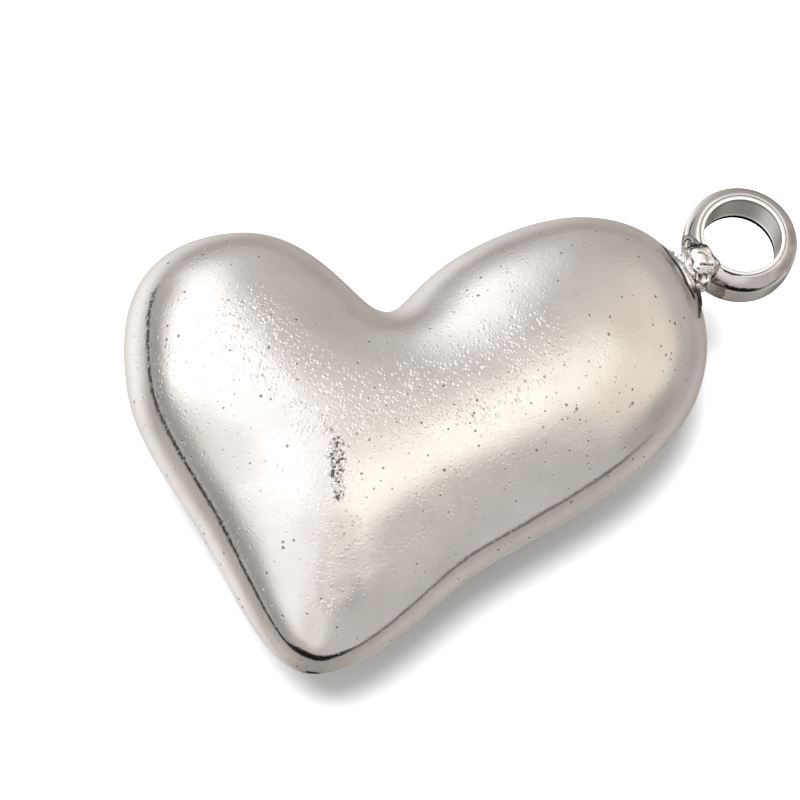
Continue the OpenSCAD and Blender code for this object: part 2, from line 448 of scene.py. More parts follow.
# Painted shade, black, where the weld bites into the heart: share of the span, mm out from the rim, mm up
UNDERCUT_SHADE_LINE = (
    (0.125, -0.34, 1.05),
    (0.060, -0.50, 1.26),
    (0.000, -0.50, 1.25),
    (-0.045, -0.53, 1.28),
    (-0.085, -0.57, 1.33),
    (-0.150, -0.44, 1.18),
)
BESIDE_WELD = ((0.15, -0.2, 0.7), (0.02, -0.2, 0.7), (-0.16, -0.2, 0.7), (-0.25, -0.2, 0.7))


def rim_places(spots):
    return [rim_place(*spot) for spot in spots]


def heart_material():
    """Satin cast steel with a polished rim, duller beside the weld."""
    s = Steel("heart_steel", STEEL, STEEL_SHADE)
    from_seam = s.math("ABSOLUTE", s.above_middle)
    s.roughen(s.ramp(from_seam, 1.3, 2.8, POLISHED, SATIN), 0.06)
    s.rough = s.math("MULTIPLY_ADD", s.near_chain(rim_places(BESIDE_WELD), 0.5, 1.4), 0.36, s.rough)
    add_grain(s, from_seam)
    add_streak(s)
    add_pits(s, from_seam)
    add_marks(s)
    return s.finish(HEART_EDGE_TINT)


def add_grain(s, from_seam):
    """Orange peel, and fine bumps and dimples that crowd in a V below the notch."""
    in_v = s.near_chain((GRAIN_LEFT_ARM, GRAIN_FORK, *GRAIN_RIGHT_ARM), 0.6, 2.1)
    on_ridge = s.times(s.near_line(*GRAIN_RIDGE, 0.2, 1.2), 0.5)
    patches = s.times(s.ramp(s.noise(0.33, 2.0, 0.5), 0.38, 0.62), 0.15)
    crowd = s.math("ADD", s.scaled(s.most(in_v, on_ridge), 0.85, 0.10), patches)
    crowd = s.times(crowd, s.ramp(from_seam, 1.0, 2.2, 0.15, 1.0))
    bumps = s.dots(per_mm=7.5, radius=0.66, chance=0.9, soft=0.8, ragged=0.3)
    dimples = s.dots(per_mm=5.2, radius=0.56, chance=0.5, soft=0.8, ragged=0.3)
    s.raise_by(s.noise(2.2, 3.0, 0.55), 0.005)
    s.raise_by(s.times(s.noise(10.0, 2.0, 0.6), s.scaled(in_v, 0.8, 0.2)), 0.006)
    s.raise_by(s.times(bumps, crowd), 0.016)
    s.raise_by(s.times(dimples, crowd), -0.017)


def add_streak(s):
    """The rough streak below the middle: packed grains, ragged at its edges, with painted shade in the gaps
    between them and painted highlights on their tops.
    """
    head = s.near_line(*STREAK_HEAD, 0.0, 0.62)
    tail = s.near_line(*STREAK_TAIL, 0.0, 0.48)
    fan = s.times(s.near_line(*STREAK_FAN, 0.0, 0.55), 0.45)
    ragged = s.scaled(s.noise(4.0, 2.0, 0.6), 1.3, -0.65)
    streak = s.ramp(s.math("ADD", s.most(head, tail, fan), ragged), 0.25, 0.9)
    grains = s.math("SUBTRACT", s.noise(7.0, 1.0, 0.5), 0.5)
    s.raise_by(s.times(grains, streak), 0.20)
    # Painted shade in the gaps between the grains, and painted highlights on their tops
    s.stain(s.times(s.below(grains, -0.09, -0.03), streak), GRAIN_GAP_SHADE, 0.85)
    s.stain(s.times(s.ramp(grains, 0.02, 0.08), streak), PAINTED_HIGHLIGHT, 0.3)


def add_pits(s, from_seam):
    """Small brown pits, thickest below the middle on the right, on the right lobe and at the seam."""
    below_middle = s.near_line(*PITS_BELOW_MIDDLE, 0.5, 4.0)
    on_lobe = s.near_line(*PITS_ON_LOBE, 0.2, 1.6)
    crowd = s.scaled(s.most(below_middle, on_lobe), 0.7, 0.3)
    at_seam = s.below(from_seam, 0.05, 0.6)
    pits = s.most(
        s.dots(per_mm=2.4, radius=0.20, chance=0.75, ragged=0.2),
        s.times(s.dots(per_mm=4.4, radius=0.30, chance=0.5, ragged=0.25), crowd),
        s.times(s.dots(per_mm=3.4, radius=0.28, chance=0.5, ragged=0.3), at_seam),
    )
    s.raise_by(pits, -0.022)
    s.stain(pits, PIT_BROWN, 0.75)


def add_marks(s):
    """The dash on the tip and the smudge, painted shade on the ridge above it, and painted shade in the
    undercut along the weld.
    """
    s.stain(s.near_line(*TIP_DASH, 0.06, 0.11), MARK_AND_SHADE_BLACK)
    s.stain(s.near_line(*SMUDGE, 0.0, 0.50), SMUDGE_GREY, 0.55)
    # Painted shade on the ridge
    s.stain(s.near_line(*SHADED_RIDGE, 0.1, 0.85), RIDGE_SHADE_GREY, 0.45)
    torn = s.scaled(s.ramp(s.noise(3.5, 2.0, 0.6), 0.40, 0.50), 0.25, 0.75)
    # Painted shade in the undercut along the weld
    s.stain(s.times(s.near_chain(rim_places(UNDERCUT_SHADE_LINE), 0.08, 0.15), torn), MARK_AND_SHADE_BLACK)


# The ring's steel
# Marks on it are at mm along the heart's rim from the weld, out from it, and up
# The groove round the mouth, where shade is painted
MOUTH_GROOVE = ((-0.86, 1.15, 0.745), (-1.14, 1.34, 0.745), (-1.34, 1.60, 0.74))
SEEN_PIT = ((1.75, 3.32, 0.60),)
FAR_TINT = ((-2.06, 3.26, 0.6), (-1.2, 4.3, 0.5))


def ring_polar(s):
    """Distance from the ring's axis, and degrees from the weld, positive on the far side."""
    from_axis = s.vector("SUBTRACT", s.place, (*ring_centre, 0) + ORIGIN_SHIFT)
    to_weld = s.vector("DOT_PRODUCT", from_axis, (*-rim_out, 0))
    to_far_side = s.vector("DOT_PRODUCT", from_axis, (*rim_along, 0))
    angle = s.times(s.math("ARCTAN2", to_far_side, to_weld), DEGREES)
    radius = s.math("SQRT", s.math("ADD", s.times(to_weld, to_weld), s.times(to_far_side, to_far_side)))
    return radius, angle


def ring_material(name, light, dark, roughness, tinted):
    """Turned steel with light and shade painted at its edges and a few pits; tinted steel took the weld's
    heat.
    """
    s = Steel(name, light, dark)
    s.roughen(roughness - 0.04, 0.08)
    radius, angle = ring_polar(s)
    mark_ring_edges(s, radius, angle)
    turn_ring(s, radius, angle)
    if tinted:
        tint_ring(s, radius, angle)
    return s.finish(RING_EDGE_TINT)


def mark_ring_edges(s, radius, angle):
    past_hole = s.math("SUBTRACT", radius, RING_HOLE_R)
    wall = s.below(past_hole, 0.005, 0.03)
    cone = s.ramp(s.above_middle, 0.36, 0.46)
    # The hole, in painted light and shade: a dark upper edge and a grey wall painted as shade, a painted
    # highlight on the lower lip and a black foot painted as a dark reflection
    s.stain(s.times(wall, s.ramp(s.above_middle, 0.52, 0.60)), HOLE_EDGE_SHADE, 0.8)
    s.stain(wall, HOLE_WALL_SHADE, 0.35)
    s.stain(s.times(wall, s.below(s.above_middle, -0.68, -0.58)), PAINTED_HIGHLIGHT, 0.8)
    foot = s.times(s.below(past_hole, 0.10, 0.12), s.below(s.above_middle, -0.80, -0.76))
    s.stain(foot, HOLE_FOOT_REFLECTION)
    # The outer side: painted shade on the cone above, a painted highlight below
    s.stain(cone, CONE_SHADE_GREY, 0.2)
    s.stain(s.math("SUBTRACT", 1.0, s.most(cone, wall)), RING_SIDE_HIGHLIGHT, 0.6)
    # Painted shade on the step round the mouth and in the groove beside it, and a painted dark reflection on
    # the edge below the near cone
    step = s.times(s.below(s.apart(past_hole, 0.155), 0.01, 0.035), s.ramp(s.above_middle, 0.4, 0.5))
    s.stain(step, STEP_SHADE, 0.55)
    s.stain(s.near_chain(weld_place(MOUTH_GROOVE), 0.02, 0.05), GROOVE_SHADE)
    cone_edge = s.below(s.apart(s.above_middle, 0.33), 0.02, 0.06)
    s.stain(s.times(cone_edge, s.ramp(angle, -86.0, -64.0), s.ramp(angle, -10.0, -20.0)), CONE_EDGE_REFLECTION)


def turn_ring(s, radius, angle):
    """Fine lines round the ring, slight waves and pits."""
    round_ring = s.add("ShaderNodeCombineXYZ", X=s.times(radius, 16), Y=s.times(s.above_floor, 16))
    s.put(round_ring.inputs["Z"], s.times(angle, 0.12))
    s.raise_by(s.noise(1.0, 2.0, 0.6, at=round_ring.outputs[0]), 0.002)
    s.raise_by(s.noise(2.0, 2.0, 0.5), 0.005)
    seen = weld_place(SEEN_PIT)[0]
    seen_pit = s.near_line(seen, seen + [0.04, 0, 0], 0.02, 0.07)
    pits = s.most(s.dots(per_mm=2.1, radius=0.13, chance=0.3, soft=0.5, ragged=0.12), seen_pit)
    s.raise_by(pits, -0.02)
    s.stain(pits, PIT_BROWN, 0.6)


def tint_ring(s, radius, angle):
    """A burnt patch low beside the weld, a soft tint round the weld and one across the ring."""
    from_weld = s.math("ABSOLUTE", angle)
    wavy = s.scaled(s.noise(3.0, 2.0, 0.5), 5.0, from_weld)
    burnt = s.times(s.below(wavy, 42.5, 43.5), s.ramp(angle, -8.0, -14.0), s.ramp(radius, 1.99, 2.05))
    mottled = s.scaled(s.noise(2.6, 2.0, 0.6), 0.9, 0.25)
    s.stain(s.times(burnt, mottled), BURNT)
    s.stain(s.below(from_weld, 15.0, 30.0), HEAT_NEAR_WELD, 0.45)
    cloud = s.ramp(s.noise(1.2, 2.0, 0.5), 0.40, 0.62)
    s.stain(s.times(cloud, s.near_line(*weld_place(FAR_TINT), 0.3, 1.3)), HEAT_FAR_SIDE, 0.5)


def weld_material():
    """Frozen weld metal: bright and lumpy, with painted shade in its creases, and near black where it ran
    thin: heat tint there, with painted shade along the run.
    """
    s = Steel("weld_steel", WELD_METAL, WELD_SHADE)
    s.roughen(0.08, 0.08)
    s.raise_by(s.noise(3.5, 2.0, 0.5), 0.05)
    s.raise_by(s.noise(9.0, 2.0, 0.6), 0.012)
    s.stain(s.ramp(s.noise(4.5, 3.0, 0.65), 0.53, 0.62), WELD_SCALE, 0.6)
    thin = s.add("ShaderNodeAttribute", attribute_name="thin").outputs["Fac"]
    # Near black where the metal ran thin: heat tint, with painted shade along the run
    s.stain(thin, THIN_TINT_AND_SHADE, 0.96)
    crease = s.add("ShaderNodeAttribute", attribute_name="crease").outputs["Fac"]
    # Painted shade in the creases
    s.stain(crease, CREASE_SHADE, 0.95)
    return s.finish(RING_EDGE_TINT)


heart_steel = heart_material()
ring_steel = ring_material("ring_steel", STEEL, STEEL_SHADE, 0.08, tinted=True)
# The mouth gets a whiter steel: a painted highlight
ring_mouth_highlight_steel = ring_material("ring_mouth_highlight_steel", MOUTH_HIGHLIGHT, PAINTED_HIGHLIGHT, 0.3, tinted=False)
weld_steel = weld_material()


# Heart
SEAM_HEIGHT = 0.016
SEAM_HALF_WIDTH = 0.07


def heart_surface():
    """The rim, and rows of places from it to the hub over the upper half."""
    share = 1 - np.cos(math.pi / 2 * np.arange(1, HUB_STEPS) / HUB_STEPS)
    plan = outline[None] * (1 - share[:, None, None]) + HUB * share[:, None, None]
    flat = np.concatenate([plan.reshape(-1, 2), HUB[None]])
    distance = rim_distance(flat, outline)
    peak = distance.max()
    radius = rim_radius()
    mean = radius.mean()
    radius = np.append(np.tile(radius, HUB_STEPS - 1), mean)
    radius += (mean - radius) * smooth_step(distance / peak, 0.45, 0.95)
    power = 2 * radius * peak / HALF_THICKNESS**2
    height = HALF_THICKNESS * np.sqrt(1 - np.maximum(0, 1 - distance / peak) ** power)
    rim = np.column_stack([outline, np.zeros(len(outline))])
    return rim, np.column_stack([flat, height])


def rim_radius():
    """The rim's rounding at each point of the outline, eased from station to station."""
    share = smooth_step(np.arange(SPAN_STEPS) / SPAN_STEPS, 0, 1)
    here, there = np.array(RIM_RADII), np.roll(RIM_RADII, -1)
    return (here[:, None] * (1 - share) + there[:, None] * share).ravel()


def heart_faces(columns):
    """Quads of both halves, and the two fans round the hub. The halves share the rim."""
    shell = (HUB_STEPS - 1) * columns
    faces = []
    for first, turned in ((columns, False), (columns + shell + 1, True)):

        def at(row, column):
            column %= columns
            return column if row == 0 else first + (row - 1) * columns + column

        for row in range(HUB_STEPS - 1):
            for column in range(columns):
                quad = [at(row, column), at(row, column + 1), at(row + 1, column + 1), at(row + 1, column)]
                faces.append(quad[::-1] if turned else quad)
        hub = first + shell
        for column in range(columns):
            fan = [at(HUB_STEPS - 1, column), at(HUB_STEPS - 1, column + 1), hub]
            faces.append(fan[::-1] if turned else fan)
    return faces


def cast_relief(places):
    """Heights in mm: the casting's slight waves, and what is left of the parting line."""
    waves = 0.011 * Waves(11, 6.0).at(places) + 0.0022 * Waves(12, 1.8).at(places)
    ridge = np.exp(-((places[:, 2] / SEAM_HALF_WIDTH) ** 2)) * SEAM_HEIGHT
    broken = smooth_step(Waves(13, 3.0).at(places), -0.4, 0.5)
    return waves + ridge * broken


def build_heart():
    rim, upper = heart_surface()
    lower = upper * [1, 1, -1]
    places = np.concatenate([rim, upper, lower])
    piece = make_mesh("heart", places, heart_faces(len(rim)), heart_steel)
    push_along_normals(piece.data, cast_relief(places))
    return piece


heart = build_heart()
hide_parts("heart_body")


# Hanging ring
# Section of the ring's outer side: distance from the axis and height, from the crest down.
# Its upper side is a worn cone, its lower side is squarer, inside the CAD ring's width.
RING_SIDE = (
    (1.650, 0.700),
    (1.690, 0.745),
    (1.750, 0.748),
    (1.850, 0.680),
    (1.950, 0.592),
    (2.030, 0.510),
    (2.080, 0.452),
    (2.125, 0.392),
    (2.160, 0.337),
    (2.185, 0.270),
    (2.198, 0.130),
    (2.200, -0.100),
    (2.198, -0.400),
    (2.185, -0.600),
    (2.155, -0.780),
    (2.080, -0.920),
    (1.960, -1.000),
    (1.800, -1.040),
    (1.660, -1.050),
)
RING_SIDE_STEPS = 4
# The mouth, which gets a whiter steel as a painted highlight, and the hole's lower edge, in the same way
RING_MOUTH = ((1.625, 0.702), (1.58, 0.704), (1.535, 0.700), (1.512, 0.688), (RING_HOLE_R, 0.665))
RING_FOOT = ((RING_HOLE_R, -1.0), (1.515, -1.035), (1.55, -1.05))
RING_WALL_STEPS = 15


def smooth_chain(points, steps):
    """A Catmull-Rom curve through the points."""
    ends = np.concatenate([[2 * points[0] - points[1]], points, [2 * points[-1] - points[-2]]])
    t = np.arange(steps)[:, None] / steps
    curve = []
    for a, b, c, d in zip(ends, ends[1:], ends[2:], ends[3:]):
        bend = (2 * a - 5 * b + 4 * c - d) * t**2 + (3 * b - a - 3 * c + d) * t**3
        curve.append(0.5 * (2 * b + (c - a) * t + bend))
    return np.concatenate([*curve, points[-1:]])


def ring_profile():
    """The ring's closed section: its side from the foot up, the mouth, the wall, the foot."""
    side = smooth_chain(np.array(RING_SIDE), RING_SIDE_STEPS)[::-1]
    wall = [(RING_HOLE_R, z) for z in np.linspace(RING_MOUTH[-1][1], RING_FOOT[0][1], RING_WALL_STEPS)]
    return np.concatenate([side, RING_MOUTH, wall[1:-1], RING_FOOT]), len(side) - 1


def build_ring():
    profile, first_mouth_edge = ring_profile()
    angle = np.linspace(0, 2 * math.pi, RING_TURNS, endpoint=False)
    places = np.array(
        [
            (ring_centre[0] + r * math.cos(a), ring_centre[1] + r * math.sin(a), z)
            for a in angle
            for r, z in profile
        ]
    )
    count = len(profile)
    faces = []
    for turn in range(RING_TURNS):
        for k in range(count):
            here, there = turn * count, (turn + 1) % RING_TURNS * count
            faces.append([here + k, there + k, there + (k + 1) % count, here + (k + 1) % count])
    piece = make_mesh("ring", places, faces, ring_steel)
    piece.data.materials.append(ring_mouth_highlight_steel)
    # The mouth's faces get the whiter steel of the painted highlight
    mouth = range(first_mouth_edge, first_mouth_edge + len(RING_MOUTH))
    highlighted = [int(k % count in mouth) for k in range(RING_TURNS * count)]
    piece.data.polygons.foreach_set("material_index", highlighted)
    return piece


ring = build_ring()
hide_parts("hanging_ring")


# Weld bead
# Metal piled on the ring and against the heart: mm along the rim, out from it, up, radius
PILED_METAL = (
    (-0.38, 0.68, 0.48, 0.56),
    (0.10, 0.72, 0.50, 0.50),
    (-0.30, 0.28, 0.62, 0.46),
    (-0.72, 0.46, 0.42, 0.36),
    (-0.35, 0.62, -0.50, 0.50),
    (0.20, 0.58, -0.55, 0.46),
)
# The curled burr at the far end of the weld, and the flange that runs from it, in the same way
BURR = (
    (0.30, 0.50, 0.66, 0.20),
    (0.62, 0.72, 0.72, 0.10),
    (0.80, 0.81, 0.74, 0.08),
    (0.99, 0.77, 0.74, 0.08),
    (1.01, 0.59, 0.70, 0.07),
    (0.88, 0.45, 0.66, 0.05),
)
FLANGE = (
    (0.80, 0.81, 0.74, 0.08),
    (0.62, 0.90, 0.76, 0.045),
    (0.45, 0.95, 0.74, 0.07),
    (0.25, 1.02, 0.76, 0.04),
    (0.07, 1.08, 0.72, 0.07),
)
# The thin ragged skirt on the heart, the metal behind it, the lumps that join it to the bead,
# and the run that trails down the heart: share of the span, mm out from the rim, up, radius
SKIRT = (
    (0.145, -0.14, 0.72, 0.03),
    (0.115, -0.21, 0.85, 0.06),
    (0.090, -0.23, 0.88, 0.045),
    (0.060, -0.31, 1.01, 0.07),
    (0.030, -0.27, 0.95, 0.05),
    (0.000, -0.31, 1.01, 0.075),
    (-0.040, -0.34, 1.06, 0.055),
    (-0.085, -0.38, 1.11, 0.08),
    (-0.125, -0.31, 1.01, 0.06),
)
BEHIND_SKIRT = (
    (0.10, -0.14, 0.76, 0.06),
    (0.05, -0.22, 0.86, 0.12),
    (0.00, -0.22, 0.88, 0.15),
    (-0.06, -0.26, 0.92, 0.17),
    (-0.11, -0.22, 0.84, 0.12),
)
SKIRT_LUMPS = (
    (0.085, -0.02, 0.52, 0.10),
    (0.050, 0.02, 0.56, 0.18),
    (0.005, 0.04, 0.60, 0.26),
    (-0.050, 0.04, 0.62, 0.28),
)
RUN = (
    (-0.075, 0.08, 0.40, 0.15),
    (-0.110, -0.01, 0.50, 0.12),
    (-0.145, -0.10, 0.62, 0.10),
    (-0.185, -0.24, 0.91, 0.09),
    (-0.220, -0.35, 1.09, 0.075),
    (-0.250, -0.42, 1.18, 0.05),
)
# Folds and pits on the upper side: chains of mm along the rim and out from it
CREASES = (
    ((-0.26, 0.38), (-0.36, 0.52), (-0.42, 0.66), (-0.53, 0.84)),
    ((0.16, 0.56), (0.10, 0.72), (-0.04, 0.80)),
    ((-0.28, 0.02), (-0.45, 0.06), (-0.62, -0.02), (-0.74, -0.16)),
    ((-0.66, 0.36), (-0.74, 0.42), (-0.80, 0.36)),
    ((-0.60, 0.12), (-0.72, 0.18)),
    ((-0.50, -0.08), (-0.62, -0.12), (-0.70, -0.04)),
    ((-0.34, 0.20), (-0.42, 0.26)),
    ((-0.84, 0.02), (-0.92, 0.10)),
    ((-0.10, 0.10), (-0.02, 0.20), (0.10, 0.22)),
    ((-0.92, 0.20), (-1.00, 0.30), (-1.06, 0.22)),
    ((-0.95, 0.62), (-1.02, 0.50), (-1.08, 0.46)),
    ((0.34, 0.34), (0.44, 0.50), (0.40, 0.70), (0.30, 0.84)),
)
CREASE_DEPTH = 0.07
# How far the weld stays off the ring's hole
HOLE_CLEARANCE = 0.01
# Middles of what is lumpy on the weld and of what is near black on it: heat tint, with painted shade along
# the run
BULK_MIDDLE = (0, 0.6, 0)
BURR_MIDDLE = (0.72, 0.85, 0.74)
RUN_END = (-0.19, -0.15, 0.7)
SKIRT_END = (0.13, -0.1, 0.5)


class Balls:
    """A heap of overlapping balls, to be melted into one skin."""

    def __init__(self):
        self.places = []
        self.faces = []

    def ball(self, centre, radii, axes, grid):
        """A ball drawn out along three axes, with a grid of rows and columns."""
        rows, columns = grid
        first = len(self.places)
        self.places.append(centre - axes[2] * radii[2])
        for i in range(1, rows):
            rise = math.pi * (i / rows - 0.5)
            for j in range(columns):
                turn = 2 * math.pi * j / columns
                way = (math.cos(turn) * math.cos(rise), math.sin(turn) * math.cos(rise), math.sin(rise))
                self.places.append(centre + sum(axes[k] * radii[k] * way[k] for k in range(3)))
        self.places.append(centre + axes[2] * radii[2])
        last = len(self.places) - 1

        def at(i, j):
            return first + 1 + (i - 1) * columns + j % columns

        for j in range(columns):
            self.faces.append([first, at(1, j + 1), at(1, j)])
            self.faces.append([last, at(rows - 1, j), at(rows - 1, j + 1)])
            for i in range(1, rows - 1):
                self.faces.append([at(i, j), at(i, j + 1), at(i + 1, j + 1), at(i + 1, j)])

    def tube(self, path, radii):
        """A chain of balls along a path, close enough to melt into a tube."""
        knots = np.linspace(0, 1, len(path))
        for t in np.linspace(0, 1, TUBE_BALLS):
            centre = np.array([np.interp(t, knots, way) for way in np.transpose(path)])
            size = np.interp(t, knots, radii)
            self.ball(centre, (size,) * 3, np.eye(3), TUBE_GRID)


def from_weld(rows):
    """Places and radii of rows that are given along the rim and out from it."""
    rows = np.array(rows)
    return weld_place(rows[:, :3]), rows[:, 3]


def from_rim(rows):
    """Places and radii of rows that are given by a share of the rim's span."""
    return np.array([rim_place(*row[:3]) for row in rows]), [row[3] for row in rows]


def build_weld():
    heap = Balls()
    axes = np.array([(*rim_out, 0), (*rim_along, 0), (0, 0, 1)])
    middle = (RING_GAP + RING_WALL) / 2
    bead_radii = (middle + BEAD_LAP, BEAD_LENGTH / 2, BEAD_HEIGHT / 2)
    heap.ball(weld_place((0, middle, 0))[0], bead_radii, axes, BEAD_GRID)
    for place, size in zip(*from_weld(PILED_METAL)):
        heap.ball(place, (size,) * 3, axes, BALL_GRID)
    for rows in (BURR, FLANGE):
        heap.tube(*from_weld(rows))
    for rows in (SKIRT, BEHIND_SKIRT):
        heap.tube(*from_rim(rows))
    for place, size in zip(*from_rim(SKIRT_LUMPS)):
        heap.ball(place, (size,) * 3, axes, BALL_GRID)
    heap.tube(*from_rim(RUN))

    piece = make_mesh("weld", heap.places, heap.faces, weld_steel)
    melt(piece)
    sculpt_weld(piece.data)
    return piece


def melt(piece):
    """Joins what overlaps into one skin."""
    modifier = piece.modifiers.new("melt", "REMESH")
    modifier.mode = "VOXEL"
    modifier.voxel_size = WELD_VOXEL * MM
    modifier.use_smooth_shade = True
    smooth = piece.modifiers.new("smooth", "SMOOTH")
    smooth.iterations = WELD_SMOOTHINGS
    smooth.factor = 0.5
    graph = bpy.context.evaluated_depsgraph_get()
    skin = bpy.data.meshes.new_from_object(piece.evaluated_get(graph))
    piece.modifiers.clear()
    old = piece.data
    piece.data = skin
    bpy.data.meshes.remove(old)
    if not skin.materials:
        skin.materials.append(weld_steel)


def sculpt_weld(mesh):
    """Lumps and creases, and the shares, for the material, of painted crease shade and of near-black thin
    metal, heat tint with painted shade along the run.
    """
    places = read_vertices(mesh) / MM - ORIGIN_SHIFT

    def near(spot, inner, outer):
        return smooth_step(np.linalg.norm(places - spot, axis=1), outer, inner)

    bulk = near(weld_place(BULK_MIDDLE)[0], 1.1, 1.6)
    lumps = 0.045 * Waves(21, 1.1).at(places) + 0.014 * Waves(22, 0.34).at(places)
    folds = smooth_step(np.abs(Waves(23, 1.3).at(places)), 0.07, 0.0) * 0.6
    under = smooth_step(places[:, 2], 0.3, -0.3)
    crease = np.maximum(folds * under, seen_creases(places))
    push_along_normals(mesh, lumps * (0.3 + 0.7 * bulk) - CREASE_DEPTH * crease * bulk)
    add_share(mesh, "crease", crease)

    patchy = 0.88 + 0.12 * np.tanh(4 * Waves(24, 0.5).at(places))
    thin = np.maximum(near(rim_place(*RUN_END), 0.80, 1.05), near(rim_place(*SKIRT_END), 0.3, 0.6))
    thin = np.maximum(thin, near(weld_place(BURR_MIDDLE)[0], 0.48, 0.62) * patchy)
    add_share(mesh, "thin", thin)
    clear_the_hole(mesh)


def seen_creases(places):
    """1 in the creases of the upper side, 0 away from them."""
    from_weld_point = places[:, :2] - weld_point
    spots = np.column_stack([from_weld_point @ rim_along, from_weld_point @ rim_out])
    found = np.zeros(len(places))
    for chain in CREASES:
        for a, b in zip(np.array(chain), np.array(chain)[1:]):
            share = np.clip((spots - a) @ (b - a) / ((b - a) @ (b - a)), 0, 1)
            off = np.linalg.norm(spots - a - share[:, None] * (b - a), axis=1)
            found = np.maximum(found, smooth_step(off, 0.045, 0.01))
    return found * (places[:, 2] > 0.25)


def add_share(mesh, name, values):
    layer = mesh.attributes.new(name, "FLOAT", "POINT")
    layer.data.foreach_set("value", values.astype(np.float32))


def clear_the_hole(mesh):
    """Pushes the weld out of the ring's hole, flush with its wall."""
    coordinates = read_vertices(mesh)
    axis = to_frame([*ring_centre, 0])[:2]
    off = coordinates[:, :2] - axis
    reach = np.linalg.norm(off, axis=1)
    least = (RING_HOLE_R + HOLE_CLEARANCE) * MM
    inside = reach < least
    coordinates[inside, :2] = axis + off[inside] / reach[inside, None] * least
    write_vertices(mesh, coordinates)


weld = build_weld()
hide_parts("weld_bead")

# Floor
FLOOR_HALF = 0.6
FLOOR_COLOUR = (0.605, 0.615, 0.63, 1)
FLOOR_ROUGHNESS = 0.9


def build_floor():
    material = bpy.data.materials.new("floor")
    material.use_nodes = True
    nodes = Nodes(material.node_tree)
    shader = nodes.add("ShaderNodeBsdfPrincipled", Roughness=FLOOR_ROUGHNESS)
    nodes.put(shader.inputs["Base Color"], FLOOR_COLOUR)
    nodes.put(shader.inputs["Specular IOR Level"], 0.0)
    nodes.add("ShaderNodeOutputMaterial", Surface=shader.outputs[0])
    corners = [(x * FLOOR_HALF, y * FLOOR_HALF, 0) for x, y in ((-1, -1), (1, -1), (1, 1), (-1, 1))]
    mesh = bpy.data.meshes.new("floor")
    mesh.from_pydata(corners, [], [(0, 1, 2, 3)])
    floor = bpy.data.objects.new("floor", mesh)
    bpy.context.scene.collection.objects.link(floor)
    mesh.materials.append(material)
    # The steel mirrors the lower half of the world in place of the floor
    floor.visible_glossy = False


build_floor()

# Camera, found from the photograph
CAMERA_ELEVATION = math.radians(67)
CAMERA_TURN = math.radians(-8.3)
CAMERA_ROLL = math.radians(17)
CAMERA_DISTANCE = 188 * MM
CAMERA_LENS = 225
FILM_WIDTH = 36
LOOK_AT = (1.165, -3.303, 0)


def build_camera():
    turn = Matrix.Rotation(CAMERA_TURN, 3, "Z")
    across = Vector((1, 0, 0))
    up = Vector((0, math.sin(CAMERA_ELEVATION), math.cos(CAMERA_ELEVATION)))
    back = Vector((0, -math.cos(CAMERA_ELEVATION), math.sin(CAMERA_ELEVATION)))
    right = across * math.cos(CAMERA_ROLL) + up * math.sin(CAMERA_ROLL)
    rolled_up = up * math.cos(CAMERA_ROLL) - across * math.sin(CAMERA_ROLL)
    axes = turn @ Matrix((right, rolled_up, back)).transposed()
    place = Vector(to_frame(LOOK_AT)) + axes @ Vector((0, 0, CAMERA_DISTANCE))
    data = bpy.data.cameras.new("camera")
    data.lens = CAMERA_LENS
    data.sensor_width = FILM_WIDTH
    data.clip_start = 0.005
    data.clip_end = 20
    camera = bpy.data.objects.new("camera", data)
    bpy.context.scene.collection.objects.link(camera)
    camera.matrix_world = Matrix.Translation(place) @ axes.to_4x4()
    bpy.context.scene.camera = camera


build_camera()


# Studio
def way_to(azimuth, elevation):
    """The direction at an azimuth and an elevation, in degrees.

    Azimuths start at the way the camera looks and grow to the right, elevations at the horizon.
    """
    azimuth, elevation = math.radians(azimuth), math.radians(elevation)
    flat = math.cos(elevation)
    return Vector((math.sin(azimuth) * flat, math.cos(azimuth) * flat, math.sin(elevation)))


def grey(level, warmth):
    """A grey of this level, yellowish with its warmth and bluish where that is below 0."""
    return (level, level * (1 - 0.9 * warmth), level * (1 - 2 * warmth), 1)


# Soft rectangles: azimuths, elevations, how soft the sides and the ends are
# Soft discs: azimuth, elevation, degrees to the edge of its middle and to its own edge
# Both end with their colour, mostly a level and a warmth, and each lies over those before it
RECTANGLE, DISC = "rectangle", "disc"
SKY = (
    (DISC, (-140, 60, 16, 42), grey(1.32, 0.0)),
    (DISC, (168, 48, 8, 32), grey(1.08, 0.02)),
    (RECTANGLE, (96, 142, -10, 84, 14, 12), grey(0.74, 0.02)),
    (DISC, (128, 72, 2, 20), grey(0.76, 0.03)),
    (RECTANGLE, (-150, -70, -10, 20, 16, 10), grey(0.46, 0.01)),
    (RECTANGLE, (18, 94, 22, 66, 14, 10), grey(1.02, 0.07)),
    (RECTANGLE, (54, 94, 20, 74, 14, 10), grey(1.18, 0.08)),
    (RECTANGLE, (80, 100, -10, 20, 10, 12), grey(0.52, 0.05)),
    (DISC, (80, 72, 4, 28), (1.58, 1.56, 1.47, 1)),
    (RECTANGLE, (-42, -4, -10, 60, 10, 9), grey(0.76, 0.02)),
    (RECTANGLE, (-48, -22, 14, 60, 12, 9), grey(1.50, -0.02)),
    (RECTANGLE, (-112, -26, 25, 76, 16, 9), grey(1.74, -0.02)),
    (RECTANGLE, (-140, -56, 3, 7.5, 8, 1.5), grey(0.66, 0.01)),
)
DARK_STRIP = (0.014, 0.011, 0.009, 1)


